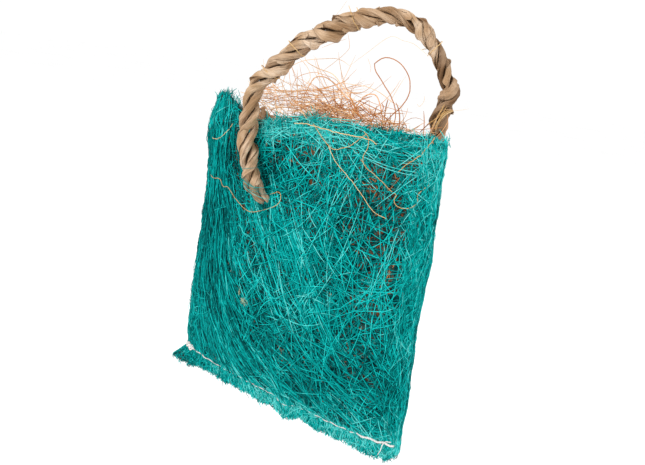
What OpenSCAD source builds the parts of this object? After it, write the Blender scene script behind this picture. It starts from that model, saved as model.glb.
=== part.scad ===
// Forage bag: a pillow-shaped bag of bonded sisal fibre, stitched shut at the bottom, open at the top and
// stuffed with coconut fibre. A twisted leaf rope is threaded through both mats and makes its handle.
// The front faces -Y, +X is to the right and +Z is up. The design is drawn with the middle of the bottom
// seam at zero, and then moved so that the origin is the underside of the handle where it hangs.

/* [Bag] */
// Width along the bottom seam
bag_w = 170; // [150:1:190]
// Height from the seam to the corners of the lip
bag_h = 172; // [168:1:176]
// Half of the room inside, front to back
half_room = 22; // [21:0.5:22.5]
// How far each side leans in by the time it reaches the lip
lean_in = 2; // [0:0.5:4]
// How much the left end of the seam lies above the middle of its two ends
seam_rise = 4.5; // [0:0.5:6]
// How much the middle of the seam hangs below its ends
seam_sag = 5.5; // [0:0.5:7]
// Height of the raw hem below the seam
hem_h = 9; // [6:1:12]
// How far the left corner of the hem spreads out
hem_flare = 6; // [0:0.5:7]
// How much shorter the hem is at its rounded right corner
hem_round = 6; // [0:0.5:7]

/* [Mats] */
// Thickness of a mat on the body of the bag
mat_t = 3; // [2:0.5:3]
// Thickness of a mat where the seam presses it
hem_t = 1.6; // [1:0.1:2]
// Depth of the dip in the front lip beside the rope
front_dip = 9; // [6:0.5:10]
// Depth of the long sag in the back lip
back_dip = 15; // [6:0.5:16]

/* [Rope] */
// Diameter of one strand
strand_d = 5.3; // [4:0.1:5.4]
// Radius on which the middles of the three strands turn
lay_r = 3.35; // [3.2:0.05:3.5]
// Length in which a strand makes one full turn
lay_pitch = 36; // [32:1:44]
// Diameter of the short bends on which the handle turns
bend_d = 10.4; // [9:0.1:10.8]

/* [Seam] */
// Diameter of the cotton thread
thread_d = 1.1; // [0.8:0.1:1.4]
// Number of stitches across the seam
stitches = 26; // [20:1:30]

/* [Filling] */
// Space between the filling and the mats
fill_gap = 1; // [0.5:0.1:2]
// How far the coconut fibre stands above the lip
tuft_h = 14; // [4:1:16]
// Diameter of a loose coconut or sisal fibre
fibre_d = 0.8; // [0.6:0.1:1]

/* [Hidden] */

// Where the handle hangs, measured from the middle of the seam
hang_at = [36, 6.5, 227];
// The two points where the rope bends over the lips; the handle turns about the line between them
front_bend_at = [-33, -27.5, 168];
back_bend_at = [65, 20, 173];
hinge_side = [back_bend_at.y - front_bend_at.y, front_bend_at.x - back_bend_at.x, 0];

mat_columns = 24;
mat_rows = 28;
fill_columns = 42;
fill_rows = 24;
fill_foot = 14;
fill_edge = 5;
strand_sides = 8;
fibre_sides = 6;
route_steps = 3;

// Routes are x, y, z and how full the rope is there, since the mats squeeze it where it goes through
handle_route = [
    [-33, -27.5, 175, 1], [-32, -26.5, 182, 1], [-27, -24, 190, 1], [-18.5, -20.5, 200.5, 1],
    [-8.5, -16, 212, 1], [5, -9, 221.5, 1], [19, -2, 229.5, 0.96], [33, 5, 233, 0.89],
    [43.5, 10.5, 230, 0.84], [53, 14.5, 223.5, 0.8], [60, 18, 214.5, 0.77], [64, 20, 203.5, 0.76],
    [68.5, 22, 195, 0.82], [66.3, 20.7, 188, 0.88], [65, 20, 183, 0.95], [65, 20, 180.5, 1]];
front_leg_route = [
    [-33, -27.5, 162, 1], [-33, -28, 155, 1], [-31, -28.5, 147, 1], [-28, -29, 139, 1],
    [-25, -29, 131, 1], [-22, -27.5, 124.5, 0.9], [-19, -24, 120, 0.7], [-17, -19.5, 119, 0.65],
    [-16, -16, 122, 0.75], [-17, -14.5, 129, 0.95], [-20, -14.5, 138, 1], [-25, -13.5, 149, 1],
    [-31, -12.5, 159, 1], [-35, -12.5, 165, 0.95], [-37.5, -13, 170, 0.6]];
back_leg_route = [
    [65, 20, 167, 1], [64.5, 20.5, 160, 1], [62, 22, 151, 1], [59, 23.5, 142, 1],
    [55, 25, 133, 1], [52, 25, 126, 0.9], [50, 22, 120.5, 0.7], [49, 17, 119, 0.65],
    [49, 12.5, 122, 0.75], [51, 10, 129, 0.95], [54, 9, 140, 1], [58, 7.5, 152, 1],
    [61, 6, 161, 1]];
// The lines of the two rope tails inside the bag, as x and z
front_tail = [[-16, 120], [-20, 138], [-31, 159], [-38, 172]];
back_tail = [[49, 120], [54, 140], [64, 176]];

// Loose strands on the front mat, as x, z and how far they stand off it
straw_routes = [
    [[-13, 124, 0.8], [-6, 125, 0.8], [-4, 121, 0.8], [-14, 111, 0.8], [-25, 109, 0.8],
        [-36, 111, 0.8], [-49, 119, 0.8], [-59, 122, 0.8], [-73, 123, 0.8], [-77, 131, 0.8]],
    [[-79, 151, 0.8], [-75, 144, 0.8], [-67, 146, 0.8], [-54, 157, 0.8]],
    [[9, 167, 0.8], [14, 163, 0.8], [23, 157, 0.8], [33, 158, 0.8], [40, 163, 0.8], [42, 165, 0.8]],
    [[23, 155, 2], [35, 145, 2], [44, 138, 2], [52, 131, 1.5], [62, 125, 0.8]],
    [[47, 161, 0.8], [45, 152, 0.8], [54, 146, 0.8], [62, 140, 0.8], [66, 136, 0.8],
        [67, 132, 0.8], [72, 132, 0.8], [75, 136, 0.8], [75, 142, 0.8]],
    [[79, 168, 0.8], [75, 166, 0.8], [70, 158, 0.8], [66, 153, 0.8]],
    [[3, 165, 2], [14, 166, 2], [26, 166, 2], [43, 165, 2], [50, 163, 2]]];
// Fibres that spring out of the mouth
coir_routes = [
    [[48, -4, 166], [49, -2, 178], [45, -1, 187], [36, 0, 196], [29, 0, 204], [32, 0, 208],
        [38, 0, 210], [45, 1, 208], [51, 2, 202], [53, 2, 194], [50, 0, 184], [44, -2, 176],
        [42, -3, 166]],
    [[-19, 2, 166], [-18, 2, 178], [-16, 3, 188], [-12, 3, 193], [-4, 3, 193], [6, 1, 189],
        [14, 0, 183], [18, 0, 174], [20, 0, 166]],
    [[21, -4, 166], [24, -4, 178], [29, -4, 186], [36, -3, 188], [41, -3, 182], [43, -3, 174],
        [43, -4, 166]]];
// Places along the handle where a sisal fibre is wound round it, as shares of its length
tie_places = [0.12, 0.24, 0.5, 0.75];

function clamp(v, low, high) = max(low, min(high, v));
function ease(v) = let (k = clamp(v, 0, 1)) k * k * (3 - 2 * k);
function mix(a, b, k) = a + (b - a) * k;
function unit(v) = v / norm(v);
function xyz(p) = [p.x, p.y, p.z];

// The bag's form: u runs from -1 at the left fold to 1 at the right fold, z is the height above the seam
function up(z) = clamp(z / bag_h, 0, 1);
function fold_x(z) = bag_w / 2 - lean_in * up(z);
function crown(u) = pow(1 - pow(min(1, abs(u)), 2.4), 0.75);
function room(z) = half_room * pow(sin(90 * min(1, up(z) / 0.45)), 0.8)
    * (1 - 0.12 * pow(max(0, up(z) - 0.5) / 0.5, 2));
function mat_thick(z) = mix(hem_t, mat_t, clamp(z / 20, 0, 1));
function slant(u, z) = -(seam_rise * u + seam_sag * (1 - pow(u, 4)) * (1 - up(z))) * (1 - up(z));
function flare(u, z) = -hem_flare * pow((1 - u) / 2, 10) * clamp(-z / hem_h, 0, 1);
function hem_foot(u) = -hem_h + hem_round * ease((u - 0.8) / 0.2);
function front_lip(u) = bag_h - 1.5 * (1 - u * u)
    - front_dip * exp(-pow((u + 0.45) / (u < -0.45 ? 0.18 : 0.33), 2));
function back_lip(u) = bag_h - back_dip * (1 - pow(abs(u), 3));
function mat_point(side, u, z, out) =
    [u * fold_x(z) + flare(u, z), side * (room(z) * crown(u) + out), z + slant(u, z)];
function column_u(i, columns) = sin(180 * i / columns - 90);
function front_point(x, z, off) = let (u = x / fold_x(z))
    [x, -(room(z) * crown(u) + mat_thick(z) + off), z];

// Smooth curve through a list of points
function curve_at(p, i, k) = let (
    a = p[max(i - 1, 0)],
    b = p[i],
    c = p[i + 1],
    d = p[min(i + 2, len(p) - 1)])
    (2 * b + (c - a) * k + (2 * a - 5 * b + 4 * c - d) * k * k
        + (3 * b - a - 3 * c + d) * k * k * k) / 2;
function curve(p, steps) = [
    for (i = [0 : len(p) - 2]) for (j = [0 : steps - 1]) curve_at(p, i, j / steps),
    p[len(p) - 1]];
function lengths(p) = [
    for (i = 0, s = 0; i < len(p); s = s + (i + 1 < len(p) ? norm(xyz(p[i + 1] - p[i])) : 0),
        i = i + 1) s];
function heading(p, i) = unit(xyz(p[min(i + 1, len(p) - 1)]) - xyz(p[max(i - 1, 0)]));
function across(t, ref) = unit(ref - (ref * t) * t);

// One strand of the rope: it winds round the rope's middle line, and ref fixes where its turn starts
function strand_rings(route, ref, phase) = let (
    middle = curve(route, route_steps),
    along = lengths(middle))
    [for (i = [0 : len(middle) - 1]) let (
        t = heading(middle, i),
        n = across(t, ref),
        turn = phase + 360 * along[i] / lay_pitch,
        out = cos(turn) * n + sin(turn) * cross(t, n),
        full = middle[i][3])
        [xyz(middle[i]) + lay_r * full * out, out, strand_d / 2 * full]];
function plain_rings(points, ref, r) = [for (p = points) [p, ref, r]];

// A closed tube through rings of [middle, sideways direction, radius]
module tube(rings, sides) {
    middles = [for (g = rings) g[0]];
    last = len(rings) - 1;
    points = [for (i = [0 : last]) let (
        t = heading(middles, i),
        a = across(t, rings[i][1]),
        b = cross(t, a))
        for (k = [0 : sides - 1])
            middles[i] + rings[i][2] * (cos(360 * k / sides) * a + sin(360 * k / sides) * b)];
    walls = [for (i = [0 : last - 1]) for (k = [0 : sides - 1]) let (
        here = i * sides + k,
        next = i * sides + (k + 1) % sides)
        each [[here, next + sides, next], [here, here + sides, next + sides]]];
    ends = [[for (k = [0 : sides - 1]) k], [for (k = [sides - 1 : -1 : 0]) last * sides + k]];
    polyhedron(points, concat(walls, ends));
}

// A closed solid between two grids of points with the same rows and columns; low has the smaller y
module slab(low, high) {
    rows = len(low) - 1;
    columns = len(low[0]) - 1;
    wide = columns + 1;
    count = wide * (rows + 1);
    points = concat([for (r = low) each r], [for (r = high) each r]);
    function at(i, j) = j * wide + i;
    function two(a, b, c, d) = [[a, b, c], [a, c, d]];
    skins = [for (j = [0 : rows - 1]) for (i = [0 : columns - 1]) each concat(
        two(at(i, j), at(i, j + 1), at(i + 1, j + 1), at(i + 1, j)),
        two(count + at(i, j), count + at(i + 1, j), count + at(i + 1, j + 1), count + at(i, j + 1)))];
    floor_and_top = [for (i = [0 : columns - 1]) each concat(
        two(at(i, 0), at(i + 1, 0), count + at(i + 1, 0), count + at(i, 0)),
        two(at(i + 1, rows), at(i, rows), count + at(i, rows), count + at(i + 1, rows)))];
    sides = [for (j = [0 : rows - 1]) each concat(
        two(at(0, j + 1), at(0, j), count + at(0, j), count + at(0, j + 1)),
        two(at(columns, j), at(columns, j + 1), count + at(columns, j + 1), count + at(columns, j)))];
    polyhedron(points, concat(skins, floor_and_top, sides));
}

module hung() {
    translate(-hang_at)
        children();
}

module front_mat() {
    function row(j, outside) = [for (i = [0 : mat_columns]) let (
        u = column_u(i, mat_columns),
        z = mix(hem_foot(u), front_lip(u), j / mat_rows))
        mat_point(-1, u, z, outside ? mat_thick(z) : 0)];
    color("darkturquoise")
        hung()
            slab([for (j = [0 : mat_rows]) row(j, true)], [for (j = [0 : mat_rows]) row(j, false)]);
}

module back_mat() {
    function row(j, outside) = [for (i = [0 : mat_columns]) let (
        u = column_u(i, mat_columns),
        z = mix(hem_foot(u), back_lip(u), j / mat_rows))
        mat_point(1, u, z, outside ? mat_thick(z) : 0)];
    color("lightseagreen")
        hung()
            slab([for (j = [0 : mat_rows]) row(j, false)], [for (j = [0 : mat_rows]) row(j, true)]);
}

// How far a point is from the nearest part of a line
function away_from(line, at) = min([
    for (k = [0 : len(line) - 2]) let (
        run = line[k + 1] - line[k],
        share = clamp((at - line[k]) * run / (run * run), 0, 1))
        norm(at - line[k] - run * share)]);
// How much of a tail's pocket is cut into the filling at x, z
function pocket(tail, x, z) = 1 - ease((away_from(tail, [x, z]) - 6.8) / 4.5);

module coir_filling() {
    function top(u) = back_lip(u)
        + (tuft_h * (1 - pow(abs(u), 2.5)) + 4 * (1 - abs(u))) * ease((u + 0.8) / 0.5);
    function point(side, i, j) = let (
        u = column_u(i, fill_columns),
        z = mix(fill_foot, top(u), j / fill_rows),
        x = u * (fold_x(z) - fill_edge),
        taper = 1 - 0.55 * ease((z - bag_h + 12) / 18),
        half = max(0.6, room(z) * crown(x / fold_x(z)) * taper - fill_gap),
        front_half = mix(half, min(half, 6.5), pocket(front_tail, x, z)),
        back_half = mix(half, min(half, mix(3.2, -0.6, (z - 125) / 40)), pocket(back_tail, x, z)))
        [x, side < 0 ? -front_half : back_half, z + slant(u, z)];
    function sheet(side) = [for (j = [0 : fill_rows]) [for (i = [0 : fill_columns]) point(side, i, j)]];
    color("peru")
        hung()
            slab(sheet(-1), sheet(1));
}

module coir_loops() {
    color("sienna")
        hung()
            for (route = coir_routes)
                tube(plain_rings(curve(route, route_steps), [0, 1, 0.1], fibre_d / 2), fibre_sides);
}

// A line of stitches on one face: the thread lies outside and dips into the mat at every hole
function seam_thread(side) = [
    for (k = [0 : 3 * stitches])
        mat_point(side, mix(-0.97, 0.97, k / (3 * stitches)), 0.5 * sin(83 * k),
            k % 3 == 0 ? hem_t * 0.4 : hem_t + thread_d * 0.35)];

module seam_needle_thread() {
    tail = [[78, -2.2, -6], [76, -2.6, -10], [74, -2.6, -12]];
    color("white")
        hung() {
            tube(plain_rings(seam_thread(-1), [0, 1, 0], thread_d / 2), fibre_sides);
            tube(plain_rings(curve(tail, route_steps), [0, 1, 0], thread_d / 2), fibre_sides);
        }
}

module seam_bobbin_thread() {
    color("white")
        hung()
            tube(plain_rings(seam_thread(1), [0, 1, 0], thread_d / 2), fibre_sides);
}

module seam_start_knot() {
    color("white")
        hung()
            for (turn = [0 : 1])
                translate([-bag_w / 2 + 3 + turn / 2, -hem_t - thread_d * (0.6 + 1.05 * turn), seam_rise])
                    rotate([90, 0, 0])
                        rotate_extrude($fn = 24)
                            translate([1.6, 0])
                                circle(d = thread_d, $fn = 24);
}

module loose_straw_strands() {
    color("burlywood")
        hung()
            for (route = straw_routes) {
                flat = curve(route, route_steps);
                points = [for (p = flat) front_point(p.x, p.y, p.z)];
                tube(plain_rings(points, [0, 1, 0], fibre_d / 2), fibre_sides);
            }
}

// The stretch of rope that flexes over a lip, drawn as the ball on which the handle turns
module rope_bend(at) {
    color("tan")
        hung()
            translate(at)
                sphere(d = bend_d, $fn = 48);
}

module leg_strand(route, number) {
    color("tan")
        hung()
            tube(strand_rings(route, [1, 0, 0], 120 * number), strand_sides);
}

module handle_strand(number) {
    color("tan")
        hung()
            tube(strand_rings(handle_route, hinge_side, 120 * number), strand_sides);
}

// A flat leaf strip wound once and a bit round the handle above the back lip
module handle_wrap_strip() {
    strip_w = 7;
    strip_t = 0.8;
    turns = 1.15;
    first = 0.86;
    steps = 22;
    middle = curve(handle_route, route_steps);
    function middle_at(k) = let (
        f = k * (len(middle) - 1),
        i = min(floor(f), len(middle) - 2))
        mix(middle[i], middle[i + 1], f - i);
    function corners(s) = let (
        k = mix(first, 0.96, s / steps),
        i = min(round(k * (len(middle) - 1)), len(middle) - 1),
        t = heading(middle, i),
        n = across(t, hinge_side),
        a = 90 + 360 * turns * s / steps,
        out = cos(a) * n + sin(a) * cross(t, n),
        m = xyz(middle_at(k)),
        r = (lay_r + strand_d / 2) * middle_at(k)[3] + 0.2)
        [m + out * r - t * strip_w / 2, m + out * (r + strip_t) - t * strip_w / 2,
            m + out * (r + strip_t) + t * strip_w / 2, m + out * r + t * strip_w / 2];
    points = [for (s = [0 : steps]) each corners(s)];
    walls = [for (s = [0 : steps - 1]) for (k = [0 : 3]) let (
        here = 4 * s + k,
        next = 4 * s + (k + 1) % 4)
        each [[here, next, next + 4], [here, next + 4, here + 4]]];
    color("rosybrown")
        hung()
            polyhedron(points, concat(walls, [[3, 2, 1, 0], [for (k = [0 : 3]) 4 * steps + k]]));
}

module handle_tie_fibres() {
    middle = curve(handle_route, route_steps);
    color("burlywood")
        hung()
            for (place = tie_places) {
                i = round(place * (len(middle) - 1));
                t = heading(middle, i);
                n = across(t, hinge_side);
                r = (lay_r + strand_d / 2) * middle[i][3] + fibre_d / 2 + 0.1;
                turn = [for (a = [0 : 30 : 330]) xyz(middle[i]) + t * a / 90
                    + r * (cos(a) * n + sin(a) * cross(t, n))];
                tube(plain_rings(turn, t, fibre_d / 2), fibre_sides);
            }
}

front_mat();
back_mat();
coir_filling();
coir_loops();
seam_needle_thread();
seam_bobbin_thread();
seam_start_knot();
loose_straw_strands();
rope_bend(front_bend_at);  // front_rope_bend
leg_strand(front_leg_route, 1);  // front_leg_strand_1
leg_strand(front_leg_route, 2);  // front_leg_strand_2
leg_strand(front_leg_route, 3);  // front_leg_strand_3
rope_bend(back_bend_at);  // back_rope_bend
leg_strand(back_leg_route, 1);  // back_leg_strand_1
leg_strand(back_leg_route, 2);  // back_leg_strand_2
leg_strand(back_leg_route, 3);  // back_leg_strand_3
handle_strand(1);  // handle_strand_1
handle_strand(2);  // handle_strand_2
handle_strand(3);  // handle_strand_3
handle_wrap_strip();
handle_tie_fibres();
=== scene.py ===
"""Looks of a small forage bag: bonded sisal mats, coconut-fibre stuffing and a twisted leaf rope.

Everything is worked out in the bag's own millimetres, as the CAD source is: x to the right, y to the
back, z up, with the middle of the bottom seam at zero. place() moves it to the frame, in metres.
"""

import math

import bpy
import numpy as np
from mathutils import Matrix, Vector


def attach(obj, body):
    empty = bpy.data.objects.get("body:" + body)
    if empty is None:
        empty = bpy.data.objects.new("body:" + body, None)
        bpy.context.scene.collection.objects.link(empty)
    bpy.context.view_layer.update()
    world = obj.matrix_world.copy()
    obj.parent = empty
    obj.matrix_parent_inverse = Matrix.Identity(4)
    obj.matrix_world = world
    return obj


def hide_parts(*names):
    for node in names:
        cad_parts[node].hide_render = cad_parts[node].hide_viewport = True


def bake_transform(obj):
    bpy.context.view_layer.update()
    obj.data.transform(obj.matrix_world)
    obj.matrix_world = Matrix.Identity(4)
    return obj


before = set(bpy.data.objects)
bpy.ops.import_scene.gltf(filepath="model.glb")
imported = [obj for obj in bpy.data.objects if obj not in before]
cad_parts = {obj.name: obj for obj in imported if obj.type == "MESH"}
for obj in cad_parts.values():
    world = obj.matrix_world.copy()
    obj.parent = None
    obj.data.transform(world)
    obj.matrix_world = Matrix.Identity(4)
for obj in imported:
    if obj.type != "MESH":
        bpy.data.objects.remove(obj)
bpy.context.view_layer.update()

MM = 0.001
HANG_AT = np.array([36, 6.5, 227])

# The bag's form, as in the CAD source, but for a hem that flares further at its left end
BAG_W, BAG_H = 170, 172
HALF_ROOM = 22
LEAN_IN = 2
SEAM_RISE, SEAM_SAG, SEAM_PUCKER = 4.5, 5.5, 3.5
HEM_H, HEM_FLARE, HEM_ROUND = 9, 9.5, 6
MAT_T, HEM_T = 3, 1.6
FRONT_DIP, BACK_DIP = 9, 15
STRAND_D, LAY_R, LAY_PITCH = 5.3, 3.35, 36
THREAD_D, STITCHES = 1.1, 26
FRONT, BACK = -1, 1

# Where the rope bends over the lips; the handle turns about the line between them
FRONT_BEND = [-33, -27.5, 168]
BACK_BEND = [65, 20, 173]
HANDLE_ROUTE = [
    [-33, -27.5, 175], [-32, -26.5, 182], [-27, -24, 190], [-18.5, -20.5, 200.5], [-8.5, -16, 212],
    [5, -9, 221.5], [19, -2, 229.5], [33, 5, 233], [43.5, 10.5, 230], [53, 14.5, 223.5],
    [60, 18, 214.5], [64, 20, 203.5], [68.5, 22, 195], [66.3, 20.7, 188], [65, 20, 183],
    [65, 20, 180.5]]
FRONT_LEG_ROUTE = [
    [-33, -27.5, 162], [-33, -28, 155], [-31, -28.5, 147], [-28, -29, 139], [-25, -29, 131],
    [-22, -27.5, 124.5], [-19, -24, 120], [-17, -19.5, 119], [-16, -16, 122], [-17, -14.5, 129],
    [-20, -14.5, 138], [-25, -13.5, 149], [-31, -12.5, 159], [-35, -12.5, 165], [-37.5, -13, 170]]
BACK_LEG_ROUTE = [
    [65, 20, 167], [64.5, 20.5, 160], [62, 22, 151], [59, 23.5, 142], [55, 25, 133],
    [52, 25, 126], [50, 22, 120.5], [49, 17, 119], [49, 12.5, 122], [51, 10, 129],
    [54, 9, 140], [58, 7.5, 152], [61, 6, 161]]
# Loose strands on the front mat, as x and z, and how far they stand off it where that isn't STRAW_LIFT
STRAW_LIFT = 0.8
STRAW_ROUTES = [
    [[-14, 123], [-7, 125.5], [-4.5, 124], [-5, 119.5], [-10, 116],
     [-18, 112.5], [-26.5, 109.5], [-33, 110.5], [-41, 114], [-46, 117],
     [-50, 119], [-55, 118.5], [-59.5, 121.5], [-70, 120.5], [-78, 124],
     [-84, 130], [-85, 137]],
    [[-85, 154], [-80, 152], [-77, 149], [-74, 144.5], [-67, 146.5],
     [-59, 152], [-54, 157.5]],
    [[9.5, 168], [14, 164], [19, 160.3], [23.5, 157.4, 1.2], [28, 156.7],
     [34, 159], [37, 161], [40.5, 165], [44, 168]],
    [[23.5, 157.3, 2], [26, 153.5, 1.6], [29.5, 149.5, 1.4], [36.5, 144.5, 1.6], [42, 140.5, 1.4],
     [46, 137, 1.4], [51, 132, 1.2], [55.5, 128, 1], [59, 126.7], [62.5, 125.5, 0.3]],
    [[42, 169], [45, 166.4], [46, 161.5], [45.3, 158.5], [44.2, 155.5],
     [45, 152.4], [48, 150], [55, 146, 1], [60.2, 142.3, 1], [65.2, 139],
     [64.6, 136], [66, 133.3], [69, 132.6], [72.5, 133.6], [74.6, 136],
     [75.5, 138.5], [75.2, 141], [77, 144], [79.3, 147, 0.5]],
    [[78.5, 172], [77.8, 170], [76, 166.5], [73.8, 162.3], [70.2, 158],
     [67, 155], [64, 151, 0.3]],
    [[-3, 166, 2], [2, 167, 2], [12, 167, 2], [20, 166.3, 1.8], [27, 166, 2], [36, 165.8, 2],
     [44, 165.6, 1.6], [47.5, 165, 1.2], [50.5, 163.3]]]
# Fibres that spring out of the mouth
COIR_ROUTES = [
    [[48, -4, 166], [49, -2, 178], [45, -1, 187], [36, 0, 196], [29, 0, 204], [32, 0, 208],
     [38, 0, 210], [45, 1, 208], [51, 2, 202], [53, 2, 194], [50, 0, 184], [44, -2, 176],
     [42, -3, 166]],
    [[-19, 2, 166], [-18, 2, 178], [-16, 3, 188], [-12, 3, 193], [-4, 3, 193], [6, 1, 189],
     [14, 0, 183], [18, 0, 174], [20, 0, 166]],
    [[21, -4, 166], [24, -4, 178], [29, -4, 186], [36, -3, 188], [41, -3, 182], [43, -3, 174],
     [43, -4, 166]]]
# Long single fibres that arch from the rope and the mouth, and how thick each is
WISP_ROUTES = [
    [[-17, -4, 205], [-15, -4, 201], [-6, -4, 198], [5, -4, 196], [13, -4, 190], [22, -4, 181],
     [24, -4, 175]],
    [[-31, -2, 177], [-32, -2, 186], [-29, -2, 195], [-19, -2, 201], [-4, -2, 204], [6, -2, 205],
     [15, -2, 202]],
    [[-8, 2, 196], [2, 2, 204], [9, 2, 211], [9, 2, 215], [7, 2, 220]],
    [[-10, 2, 210], [-1, 2, 214], [7, 2, 217]],
    [[9, 0, 192], [19, 0, 192], [27, 0, 192], [36, 0, 190], [45, 0, 186], [52, 0, 184]],
    [[10, 4, 202], [16, 4, 207], [21, 4, 211], [34, 4, 221], [43, 4, 220], [50, 4, 219], [56, 4, 216],
     [62, 4, 213]],
    [[23, 2, 208], [26, 2, 203], [26, 2, 200]],
    [[-5, 4, 229], [-1, 4, 234], [2, 4, 239]],
    [[56, 8, 187], [58, 8, 186], [60, 8, 189], [60, 8, 192]],
    [[-29, 4, 180], [-29, 4, 185], [-26, 4, 191], [-16, 4, 195], [-9, 4, 195], [2, 4, 193], [9, 4, 187]],
    [[65, 14, 179], [70, 14, 186], [78, 14, 187], [85, 14, 189]],
    [[-24, -10, 181], [-31, -10, 184], [-36, -10, 187], [-40, -10, 190]]]
WISP_RADII = [0.24, 0.17, 0.12, 0.1, 0.18, 0.1, 0.09, 0.08, 0.1, 0.16, 0.08, 0.14]
# Torn ends of leaf at the foot of the handle's back part
FRAYED_ROUTES = [
    [[75.4, 15, 186.8], [72.6, 13.5, 185.2], [69.5, 13, 181.5], [68, 12.5, 177], [68.2, 12, 174.5]],
    [[70.1, 13, 188.2], [67.5, 13, 182.2], [65.5, 12.5, 177], [65, 12, 174]],
    [[72, 14, 186], [67, 13, 180.5], [62, 12.5, 176]]]
# Where sisal fibres are tied round the handle, as shares of its length
TIE_PLACES = [0.12, 0.24, 0.46, 0.75]
# Tufts over the lip: x, y and z of their roots, how far they spread, how many fibres and how high
TUFTS = [
    [-78, -4, 171, 2, 24, 3.5], [-70, -6, 173, 3, 30, 4], [-60, -12, 171, 4, 30, 3.5],
    [-70, -6, 174, 0.3, 1, 9], [9, -21, 170.5, 2, 9, 7], [16.5, -20, 170.5, 1.2, 6, 6],
    [-12, -23, 165, 3, 26, 6], [-22, -23, 163.5, 2, 12, 5], [84, -3, 170, 1, 12, 4],
    [60, -14, 170, 6, 16, 3]]


# ---------------------------------------------------------------- the bag's form

def mix(a, b, k):
    return a + (b - a) * k


def smooth(v, low, high):
    k = np.clip((v - low) / (high - low), 0, 1)
    return k * k * (3 - 2 * k)


def up(z):
    return np.clip(z / BAG_H, 0, 1)


def crown(u):
    """How full the bag is across its width, from 1 in the middle to 0 at the folds."""
    return (1 - np.minimum(1, np.abs(u)) ** 2.4) ** 0.75


def room(z):
    """Half the room between the mats at that height."""
    rise = np.sin(np.pi / 2 * np.minimum(1, up(z) / 0.45)) ** 0.8
    return HALF_ROOM * rise * (1 - 0.12 * (np.maximum(0, up(z) - 0.5) / 0.5) ** 2)


def mat_thick(z):
    return mix(HEM_T, MAT_T, np.clip(z / 20, 0, 1))


def fold_x(z):
    return BAG_W / 2 - LEAN_IN * up(z)


def drop(u, z):
    """How far the seam's slant, sag and one pucker lower a point; it fades out towards the lip."""
    sag = SEAM_SAG * (1 - u ** 4) + SEAM_PUCKER * np.exp(-((u - 0.03) / 0.07) ** 2)
    return (SEAM_RISE * u + sag * (1 - up(z))) * (1 - up(z))


def flare(u, z):
    """How far the hem spreads to the left, growing towards its left end and its foot."""
    return HEM_FLARE * ((1 - u) / 2) ** 8 * np.clip(-z / HEM_H, 0, 1.3)


def hem_foot(x):
    """Height of the raw hem's torn edge: deeper at its left end and before its rounded right corner."""
    deeper = 2.6 * np.exp(-((x - 72) / 14) ** 2) + 6 * smooth(-x, 62, 86)
    teeth = 0.8 * np.sin(x / 1.7 + 2.5 * np.sin(x / 6.1)) + 0.6 * np.sin(x / 4.3 + 1.5 * np.sin(x / 11))
    return -HEM_H - deeper - teeth + (HEM_ROUND + 1) * smooth(x, 77, 88)


def lip(side, u):
    """Height of a mat's upper edge: the back one sags, the front one dips at the rope and rises beside it."""
    corner = 3.5 * smooth(np.abs(u), 0.94, 1)
    if side == BACK:
        return BAG_H - BACK_DIP * (1 - np.abs(u) ** 3) - corner
    dip = np.exp(-((u + 0.45) / np.where(u < -0.45, 0.18, 0.33)) ** 2)
    return BAG_H - 1.5 * (1 - u * u) - FRONT_DIP * dip - corner + 3 * np.exp(-((u + 0.82) / 0.1) ** 2)


def ragged(z, hand):
    """How far a fold strays from its line: small bites everywhere, and a fuller corner at the upper left."""
    small = 0.2 * np.sin(z / 1.3 + 3 * np.sin(z / 5)) + 0.35 * np.sin(z / 4.3 + 2 * hand + np.sin(z / 7))
    slow = 0.6 * np.sin(z / 17 + hand) + 0.25 * np.sin(z / 9 + 3 * hand)
    return small + slow + 3.2 * (hand < 0) * np.exp(-((z - 150) / 15) ** 2)


def unevenness(x, z, side):
    """Slow hills and hollows of the stuffing, and the dent where the rope goes through, in mm."""
    hills = (0.5 * np.sin(x / 17 + 1.3 * side) * np.sin(z / 23 + 0.7)
             + 0.35 * np.sin(x / 8 - z / 13 + side) - 0.4)
    at_x, at_z = (-17, 121) if side == FRONT else (50, 121)
    dent = np.exp(-((x - at_x) ** 2 + (z - at_z) ** 2) / 120)
    return (hills - 2 * dent) * smooth(z, 5, 40)


def fold_run(z, out):
    """Half the flat width between the folds, and the length of the turn round a fold."""
    radius = np.maximum(mat_thick(z) + out, 0.3)
    return fold_x(z) - 0.6 * radius, 2.6 * radius


def skin(side, across, z, out):
    """The point of a mat at that distance across and height, out mm off its outer face.

    Past the flat part it turns round the fold."""
    flat, turn = fold_run(z, out)
    radius = np.maximum(mat_thick(z) + out, 0.3)
    over = np.clip((np.abs(across) - flat) / turn, 0, 1)
    past = np.maximum(0, np.abs(across) - flat - turn)
    x = np.where(over > 0, flat - past + 0.6 * radius * np.sin(np.pi * over), np.abs(across))
    u = np.clip((flat - past) / flat * (over > 0) + np.abs(across) / flat * (over == 0), 0, 1)
    x = x * np.sign(across)
    y = side * (room(z) * crown(u) + radius + unevenness(x, z, side) * crown(u)) * np.cos(np.pi * over)
    u = np.clip(x / fold_x(z), -1, 1)
    hand = np.sign(across)
    x = x + hand * ragged(z, hand) * smooth(np.abs(x), 66, 84)
    return np.stack([x - flare(u, z), y, z - drop(u, z)], -1)


# ---------------------------------------------------------------- meshes

def place(points):
    return (np.asarray(points, float) - HANG_AT) * MM


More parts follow.
